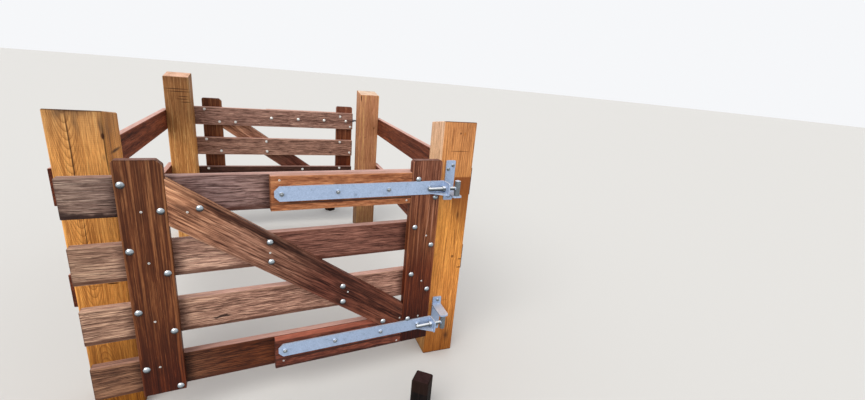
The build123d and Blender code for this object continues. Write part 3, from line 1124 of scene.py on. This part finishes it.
@dataclass
class Fasteners:
    """The small hardware of a gate: coach bolts, nuts, washers and countersunk screws.

    sunk is how far a head or washer goes into the wood, so that no gap shows under it.
    """

    sunk: float = 0.0005
    head_radius: float = 0.0132
    head_height: float = 0.0072
    rim: float = 0.0012
    nut_flats: float = 0.017
    nut_height: float = 0.008
    bolt_radius: float = 0.005
    nut_ease: float = 0.0014
    bolt_end: float = 0.0035
    bolt_ease: float = 0.001
    washer_radius: float = 0.0112
    washer_height: float = 0.0018
    washer_ease: float = 0.0004
    screw_radius: float = 0.0042
    screw_proud: float = 0.0003
    screw_depth: float = 0.0016
    recess_depth: float = 0.0014

    def dome(self) -> bmesh.types.BMesh:
        """A coach bolt's domed head, with its rim just sunk into the wood.

        Returns:
            The form, on the ground plane.
        """
        sphere = (self.head_radius ** 2 + self.head_height ** 2) / (2 * self.head_height)
        reach = math.asin(self.head_radius / sphere)
        arcs = 6
        turns = [reach * i / arcs for i in range(arcs + 1)]
        top = self.rim + self.head_height
        cap = [(sphere * math.sin(turn), top - sphere * (1 - math.cos(turn))) for turn in turns]
        return lathe([*cap, (self.head_radius, -self.sunk), (0, -self.sunk)], 24)

    def nut(self, washer: bool) -> bmesh.types.BMesh:
        """A nut with the bolt's end standing out of it.

        Args:
            washer: whether it sits on a washer, as it does where it bears on wood.

        Returns:
            The form, on the ground plane.
        """
        base = self.washer_height if washer else 0.0
        form = hexagon(self.nut_flats, self.nut_height, self.nut_ease)
        bmesh.ops.translate(form, verts=form.verts, vec=(0, 0, base))
        top = base + self.nut_height + self.bolt_end
        r, ease = self.bolt_radius, self.bolt_ease
        bolt = lathe(((0, base), (r, base), (r, top - ease), (r - ease, top), (0, top)), 16)
        tuck_in(form, bolt, Matrix.Identity(4))
        if washer:
            r, h, ease = self.washer_radius, self.washer_height, self.washer_ease
            disc = lathe(((0, -self.sunk), (r, -self.sunk), (r, h - ease), (r - ease, h), (0, h)), 24)
            tuck_in(form, disc, Matrix.Identity(4))
        return form

    def screw(self) -> bmesh.types.BMesh:
        """A countersunk screw's head with a round recess for the driver.

        Returns:
            The form, on the ground plane.
        """
        r, top, bottom = self.screw_radius, self.screw_proud, -self.screw_depth
        mouth, foot, floor = 0.45 * r, 0.36 * r, top - self.recess_depth
        return lathe(((0, bottom), (r, bottom), (r, top - 0.0002), (r - 0.0003, top), (mouth, top),
                      (foot, floor), (0, floor)), 14)


@dataclass
class Gate:
    """One leaf: its timbers, strap hinges and fastenings, all placed on the closed front gate.

    Distances are in from a timber's edges, and rails run from the top down. Each of brace_bolts and
    brace_screws is in from the brace's left end and up from the ground.
    """

    layout: Layout
    end: End
    fasteners: Fasteners
    steel: Steel = Steel()
    rails: tuple[str, ...] = ("top_rail", "upper_rail", "lower_rail", "bottom_rail")
    latch_bolt_inset: float = 0.020
    latch_below_top: tuple[float, ...] = (0.019, 0.015, 0.015, 0.021)
    latch_above_bottom: tuple[float, ...] = (0.027, 0.032, 0.031, 0.020)
    latch_screws: tuple[tuple[float, float], ...] = (
        (0.070, 0.028), (0.074, 0.082), (0.069, 0.087), (0.066, 0.132))
    hinge_bolt_left: float = 0.031
    hinge_bolt_right: float = 0.023
    hinge_below_top: tuple[float, ...] = (0.034, 0.017, 0.014, 0.014)
    hinge_above_bottom: tuple[float, ...] = (0.023, 0.030, 0.038)
    hinge_screws: tuple[tuple[float, float], ...] = ((0.096, 0.084), (0.092, 0.091), (0.090, 0.143))
    brace_bolts: tuple[tuple[float, float], ...] = (
        (0.105, 0.993), (0.351, 0.826), (0.354, 0.735), (0.664, 0.567), (0.666, 0.485), (0.875, 0.333))
    brace_screws: tuple[tuple[float, float], ...] = (
        (0.063, 0.981), (0.350, 0.778), (0.689, 0.534), (0.966, 0.335))
    strap_bolts: tuple[float, ...] = (0.028, 0.258, 0.490, 0.695)
    packer_screws: tuple[tuple[float, float], ...] = ((0.036, 0.018), (0.600, 0.016))
    thread_pitch: float = 0.002
    thread_ridge: float = 0.0006
    thread_steps: int = 24
    rolls: random.Random = field(default_factory=lambda: random.Random(7))

    @property
    def body(self) -> str:
        """The name of the body that the gate's pieces move with."""
        return f"{self.end.value}_gate"

    def node(self, name: str) -> bpy.types.Object:
        """One of the gate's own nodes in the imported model."""
        return frame["nodes"][f"{self.end.value}_{name}"]

    def timbers(self) -> None:
        """Dresses the rails, stiles, brace and packers."""
        shift = 40.0 if self.end is End.BACK else 17.0
        for i, (name, timber) in enumerate(Finishes.rails.items()):
            if self.end is End.FRONT:
                marks = (*Finishes.rail_edges, *self.lap_shades(name), *timber.marks)
                timber = replace(timber, marks=marks)
            else:
                tints = ((0.5, Finishes.back_rail_tones[i]),)
                timber = replace(Finishes.rail, tints=tints, top_share=0.7, top_ends=(1.0, 1.0))
            self.dress_timber(name, timber, X, Z, shift + 3.1 * i)
        for i, (name, timber) in enumerate(Finishes.stiles.items()):
            self.dress_timber(name, timber, Z, X, shift + 14.0 + 3.7 * i)
        along, across, size = self.brace_run()
        self.dress_timber("brace", Finishes.brace, along, across, shift + 23.0, size)
        for i, (name, timber) in enumerate(Finishes.packers.items()):
            self.dress_timber(name, timber, X, Z, shift + 27.0 + 4.0 * i)

    def brace_run(self) -> tuple[Vector, Vector, Vector]:
        """How the brace runs in its box, from its width and its upright ends.

        Returns:
            The ways that its grain and its width run, and its size that way.
        """
        low, high = self.layout.closed("brace")
        rail_low, rail_high = self.layout.closed("top_rail")
        width, run, drop = rail_high.z - rail_low.z, high.x - low.x, high.z - low.z
        slope = math.acos(width / math.hypot(run, drop)) - math.atan2(run, drop)
        along = Vector((math.cos(slope), 0, -math.sin(slope)))
        across = Vector((math.sin(slope), 0, math.cos(slope)))
        return along, across, Vector((math.hypot(run, drop), width, high.y - low.y))

    def lap_shades(self, name: str) -> tuple[Mark, ...]:
        """The painted shade on a rail's face beside the stiles and the upper packer, where they lap it.

        Args:
            name: the rail.

        Returns:
            One mark for each edge that laps it.
        """
        low, high = self.layout.closed(name)
        middle = (low.x + high.x) / 2
        latch, hinge = self.layout.closed("latch_stile"), self.layout.closed("hinge_stile")
        edges = [latch[0].x, latch[1].x, hinge[0].x]
        if name == "top_rail":
            edges.append(self.layout.closed("upper_packer")[0].x)
        return tuple(replace(Finishes.lap_shade, along=x - middle) for x in edges)

    def dress_timber(self, name: str, timber: Timber, along: Vector, across: Vector, shift: float,
                     size: Vector | None = None) -> None:
        """Dresses one timber of the leaf in its own figure.

        Args:
            name: its name, without its gate.
            timber: its finish.
            along, across: the ways that its grain and its width run on the closed front gate.
            shift: moves the figure.
            size: its size that way, where its box doesn't give it.
        """
        place = self.layout.timber(self.end, name, along, across, size)
        low, high = self.layout.closed(name)
        middle = (low + high) / 2
        bolts = []
        if name in ("latch_stile", "hinge_stile", "brace"):
            for x, z in self.stile_bolt_spots() + self.brace_spots() + self.screw_spots():
                offset = Vector((x, middle.y, z)) - middle
                spot = (offset.dot(along), offset.dot(across))
                if abs(spot[0]) < place.size.x / 2 and abs(spot[1]) < place.size.y / 2:
                    bolts.append(spot)
        dress(self.node(name), timber.material(f"{self.end.value}_{name}", place, shift, bolts))

    def metalwork(self, galvanised: bpy.types.Material, eye: bpy.types.Material) -> None:
        """Dresses the straps and the eye bolts.

        Args:
            galvanised, eye: their two kinds of zinc.
        """
        for level in ("upper", "lower"):
            dress(self.node(f"{level}_strap"), galvanised)
            dress(self.node(f"{level}_eye_bolt"), eye)

    def fit(self, name: str, shape: bmesh.types.BMesh, spots: Sequence[tuple[float, float, float]],
            direction: Vector, metal: bpy.types.Material) -> None:
        """Joins one kind of fastener at its spots, each rolled at random, and hangs it on the leaf.

        Args:
            name: the new piece's name, without its gate.
            shape: the fastener.
            spots: where each sits on the closed front gate.
            direction: the way that they stand.
            metal: their zinc.
        """
        swing = self.layout.swing(self.end)
        places = [swing @ facing(spot, direction, self.rolls.uniform(0, math.tau)) for spot in spots]
        hang(repeated(f"{self.end.value}_{name}", shape, places), metal, self.body)

    def stile_bolt_spots(self) -> list[tuple[float, float]]:
        """Places the bolts through the stiles: two to a rail, at opposite corners of the lap.

        Returns:
            The x and z of each.
        """
        spots = []
        latch_low, latch_high = self.layout.closed("latch_stile")
        hinge_low, hinge_high = self.layout.closed("hinge_stile")
        for i, rail in enumerate(self.rails):
            low, high = self.layout.closed(rail)
            spots.append((latch_low.x + self.latch_bolt_inset, high.z - self.latch_below_top[i]))
            spots.append((latch_high.x - self.latch_bolt_inset, low.z + self.latch_above_bottom[i]))
            spots.append((hinge_low.x + self.hinge_bolt_left, high.z - self.hinge_below_top[i]))
            if i < len(self.hinge_above_bottom):
                spots.append((hinge_high.x - self.hinge_bolt_right, low.z + self.hinge_above_bottom[i]))
        return spots

    def brace_spots(self) -> list[tuple[float, float]]:
        """The x and z of each bolt through the brace."""
        brace_left = self.layout.closed("brace")[0].x
        return [(brace_left + dx, z) for dx, z in self.brace_bolts]

    def screw_spots(self) -> list[tuple[float, float]]:
        """Places the countersunk screws through the stiles, the brace and the packers.

        Returns:
            The x and z of each.
        """
        spots = []
        latch_left = self.layout.closed("latch_stile")[0].x
        hinge_left = self.layout.closed("hinge_stile")[0].x
        brace_left = self.layout.closed("brace")[0].x
        lows = [self.layout.closed(rail)[0].z for rail in self.rails]
        spots += [(latch_left + dx, z + dz) for z, (dx, dz) in zip(lows, self.latch_screws)]
        spots += [(hinge_left + dx, z + dz) for z, (dx, dz) in zip(lows[1:], self.hinge_screws)]
        spots += [(brace_left + dx, z) for dx, z in self.brace_screws]
        upper_low, upper_high = self.layout.closed("upper_packer")
        lower_low, _ = self.layout.closed("lower_packer")
        (left, down), (right, up) = self.packer_screws
        spots += [(upper_low.x + left, upper_high.z - down), (upper_low.x + right, upper_low.z + up),
                  (lower_low.x + left, lower_low.z + 2 * down), (lower_low.x + right, lower_low.z + up)]
        return spots

    def fastenings(self, zinc: bpy.types.Material, nut: bpy.types.Material,
                   screw: bpy.types.Material) -> None:
        """Fits every bolt, nut and screw of the leaf.

        Args:
            zinc, nut, screw: the metals of the bolt heads, the straps' nuts, and the screws and far side.
        """
        face_y = self.layout.closed("latch_stile")[0].y
        back_y = self.layout.closed("top_rail")[1].y
        straps = [self.layout.closed(f"{level}_strap") for level in ("upper", "lower")]
        left = straps[0][0].x
        strap = [(left + dx, (low.z + high.z) / 2) for low, high in straps for dx in self.strap_bolts]
        through = self.stile_bolt_spots() + self.brace_spots()
        kit = self.fasteners
        for name, shape, spots, y, direction, metal in (
                ("coach_bolts", kit.dome(), through, face_y, OUT, zinc),
                ("coach_nuts", kit.nut(True), through, back_y, -OUT, screw),
                ("strap_bolts", kit.dome(), strap, back_y, -OUT, screw),
                ("strap_nuts", kit.nut(False), strap, face_y - self.steel.strap, OUT, nut),
                ("screws", kit.screw(), self.screw_spots(), face_y, OUT, screw)):
            self.fit(name, shape, [(x, y, z) for x, z in spots], direction, metal)

    def thread(self, length: float) -> bmesh.types.BMesh:
        """Winds the ridge of a thread round the shank, along Z.

        Args:
            length: how far the thread runs.

        Returns:
            The ridge.
        """
        shank, pitch, steps = self.steel.shank_radius, self.thread_pitch, self.thread_steps
        turns = max(1, round(length / pitch) - 1)
        coil = bmesh.new()
        corners = ((shank, 0, 0), (shank + self.thread_ridge, 0, pitch / 2), (shank, 0, pitch))
        line = [coil.verts.new(corner) for corner in corners]
        edges = [coil.edges.new(pair) for pair in zip(line, line[1:])]
        bmesh.ops.spin(coil, geom=line + edges, cent=(0, 0, 0), axis=(0, 0, 1), dvec=(0, 0, pitch / steps),
                       angle=math.tau * turns, steps=steps * turns, use_merge=False)
        bmesh.ops.remove_doubles(coil, verts=coil.verts, dist=1e-6)
        return coil

    def threads(self, metal: bpy.types.Material) -> None:
        """Cuts the visible thread of both eye bolts' shanks, on either side of the flange's nuts.

        Args:
            metal: the eye bolts' zinc.
        """
        steel, pin = self.steel, self.layout.pin
        form = bmesh.new()
        for level in ("upper", "lower"):
            low, high = self.layout.closed(f"{level}_eye_bolt")
            flange = self.layout.closed(f"{level}_strap")[1].x
            runs = ((low.x, flange - steel.strap - steel.flange_nut),
                    (flange + steel.flange_nut, pin.x - steel.tube_room))
            for start, stop in runs:
                tuck_in(form, self.thread(stop - start), facing((start, pin.y, (low.z + high.z) / 2), X))
        bmesh.ops.transform(form, matrix=self.layout.swing(self.end), verts=form.verts)
        hang(as_object(f"{self.end.value}_threads", form, 60.0), metal, self.body)


@dataclass
class Welds:
    """The rippled weld beads of the hinges: gusset to strap, tube to shank, and lug to plate.

    setback is how far a bead starts in from the gusset's end, flange_clear how much of the flange's
    depth stays bare, and lug_setback how far a bead keeps from the plate's long edges.
    """

    layout: Layout
    radius: float = 0.0026
    ripple: float = 0.0040
    depth: float = 0.22
    steps: int = 10
    crease: float = 60.0
    setback: float = 0.008
    flange_clear: float = 0.020
    lug_setback: float = 0.004
    steel: Steel = Steel()

    def bead(self, length: float) -> bmesh.types.BMesh:
        """A rippled bead along Z, from the origin up.

        Args:
            length: how long the bead is.

        Returns:
            A closed form, a few facets round.
        """
        count = max(3, round(length / self.ripple))
        profile = [(0.0, 0.0)]
        for i in range(count):
            crest = self.radius * (1.0 if i % 2 else 1.0 - self.depth)
            profile.append((crest, length * (i + 0.5) / count))
        return lathe([*profile, (0.0, length)], self.steps)

    def collar(self) -> bmesh.types.BMesh:
        """The fillet of weld round the shank where it meets the tube.

        Returns:
            A closed ring about Z.
        """
        overlap = 0.0005
        inner, r = self.steel.shank_radius - overlap, self.radius
        profile = [(inner, 0.0), (inner + r + overlap, 0.0), (inner + 0.9 * r, 0.4 * r), (inner + 0.5 * r, r),
                   (inner, 1.4 * r), (inner, 0.0)]
        return lathe(profile, 24)

    def gate(self, end: End, metal: bpy.types.Material) -> None:
        """Welds both straps and both eye bolts of one gate.

        Args:
            end: the gate.
            metal: the beads' zinc.
        """
        steel, pin = self.steel, self.layout.pin
        face_y = self.layout.closed("latch_stile")[0].y - steel.strap
        form = bmesh.new()
        for level in ("upper", "lower"):
            low, high = self.layout.closed(f"{level}_strap")
            top = (low.z + high.z) / 2 - steel.gusset_drop
            inner_x = high.x - steel.strap
            for z in (top, top - steel.gusset):
                start = (inner_x - steel.gusset_length + self.setback, face_y, z)
                tuck_in(form, self.bead(steel.gusset_length - 2 * self.setback), facing(start, X))
                start = (inner_x, face_y - self.setback, z)
                tuck_in(form, self.bead(face_y - low.y - self.flange_clear), facing(start, OUT))
            low, high = self.layout.closed(f"{level}_eye_bolt")
            root = (pin.x - steel.tube_radius + self.radius, pin.y, (low.z + high.z) / 2)
            tuck_in(form, self.collar(), facing(root, -X))
        bmesh.ops.transform(form, matrix=self.layout.swing(end), verts=form.verts)
        hang(as_object(f"{end.value}_welds", form, self.crease), metal, f"{end.value}_gate")

    def pen(self, metal: bpy.types.Material) -> None:
        """Welds each bracket's lug to its plate, above and below.

        Args:
            metal: the beads' zinc.
        """
        form = bmesh.new()
        for end in End:
            out = OUT if end is End.FRONT else Y
            for level, up in (("upper", 1), ("lower", -1)):
                name = f"{end.value}_{level}_bracket"
                low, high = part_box(name)
                face_y = self.steel.plate_face(name, out)
                plate_end = low.z if up > 0 else high.z
                for lift in (self.steel.lug_rise, self.steel.lug_rise + self.steel.lug):
                    start = (low.x + self.lug_setback, face_y, plate_end + up * lift)
                    tuck_in(form, self.bead(high.x - low.x - 2 * self.lug_setback), facing(start, X))
        hang(as_object("bracket_welds", form, self.crease), metal, "pen")


@dataclass
class Studio:
    """The floor, the light and the camera, which stands where the photograph was taken."""

    image_width: float = 865.0
    focal_pixels: float = 409.0
    eye: tuple[float, float, float] = (-0.8995, -1.9295, 1.569)
    yaw: float = 0.4012
    pitch: float = 0.3034
    roll: float = 0.0930
    sensor: float = 36.0
    floor_radius: float = 60.0
    floor_colour: Colour = (0.60, 0.59, 0.57)
    sky_colour: Colour = (0.97, 0.98, 1.0)
    sky_strength: float = 0.95
    sun_colour: Colour = (1.0, 0.97, 0.92)
    sun_strength: float = 1.9
    sun_spread: float = 45.0
    sun_from: tuple[float, float, float] = (-0.75, -0.75, 1.0)

    def camera(self) -> None:
        """Stands the camera and makes it the scene's own."""
        ahead = Vector((math.sin(self.yaw) * math.cos(self.pitch), math.cos(self.yaw) * math.cos(self.pitch),
                        -math.sin(self.pitch)))
        level = Vector((math.cos(self.yaw), -math.sin(self.yaw), 0))
        upright = level.cross(ahead)
        right = math.cos(self.roll) * level + math.sin(self.roll) * upright
        up = math.cos(self.roll) * upright - math.sin(self.roll) * level
        data = bpy.data.cameras.new("camera")
        data.sensor_width = self.sensor
        data.lens = self.sensor * self.focal_pixels / self.image_width
        data.clip_start, data.clip_end = 0.05, 200.0
        camera = bpy.data.objects.new("camera", data)
        camera.matrix_world = Matrix.Translation(self.eye) @ Matrix((right, up, -ahead)).transposed().to_4x4()
        bpy.context.scene.collection.objects.link(camera)
        bpy.context.scene.camera = camera

    def floor(self) -> None:
        """Lays a pale round floor."""
        form = bmesh.new()
        bmesh.ops.create_circle(form, cap_ends=True, segments=96, radius=self.floor_radius)
        mesh = bpy.data.meshes.new("floor")
        form.to_mesh(mesh)
        form.free()
        floor = bpy.data.objects.new("floor", mesh)
        bpy.context.scene.collection.objects.link(floor)
        wiring = Wiring("pale_floor")
        shader = wiring.node("BsdfPrincipled", {"Base Color": (*self.floor_colour, 1), "Roughness": 0.9,
                                                "Specular IOR Level": 0.1})
        wiring.node("OutputMaterial", {"Surface": shader.outputs[0]})
        floor.data.materials.append(wiring.material)

    def light(self) -> None:
        """Lights the gate softly from all round, and a little more from the upper left."""
        world = bpy.data.worlds.new("studio")
        bpy.context.scene.world = world
        world.use_nodes = True
        sky = world.node_tree.nodes["Background"]
        sky.inputs[0].default_value = (*self.sky_colour, 1)
        sky.inputs[1].default_value = self.sky_strength
        lamp = bpy.data.lights.new("key", "SUN")
        lamp.energy = self.sun_strength
        lamp.angle = math.radians(self.sun_spread)
        lamp.color = self.sun_colour
        key = bpy.data.objects.new("key", lamp)
        key.matrix_world = facing((-3, -3, 5), self.sun_from)
        bpy.context.scene.collection.objects.link(key)
        bpy.context.scene.view_settings.view_transform = "Standard"


def main() -> None:
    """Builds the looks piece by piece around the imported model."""
    logging.basicConfig(level=logging.INFO, format="%(name)s: %(message)s")
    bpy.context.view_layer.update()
    layout = Layout()
    studio = Studio()
    studio.camera()
    studio.floor()
    studio.light()
    galvanised = Finishes.galvanised.material("galvanised_steel")
    zinc = Finishes.zinc.material("bright_zinc")
    eye = Finishes.eye.material("eye_bolt_zinc")
    nut = Finishes.nut.material("strap_nut_zinc")
    screw = Finishes.screw.material("screw_head_zinc")
    fasteners = Fasteners()
    pen = Pen()
    pen.posts()
    pen.boards()
    pen.stops()
    pen.brackets(galvanised)
    pen.board_screws(fasteners.screw(), screw)
    welds = Welds(layout)
    welds.pen(galvanised)
    for end in End:
        gate = Gate(layout, end, fasteners)
        gate.timbers()
        gate.metalwork(galvanised, eye)
        gate.fastenings(zinc, nut, screw)
        gate.threads(eye)
        welds.gate(end, galvanised)


if __name__ == "__main__":
    main()
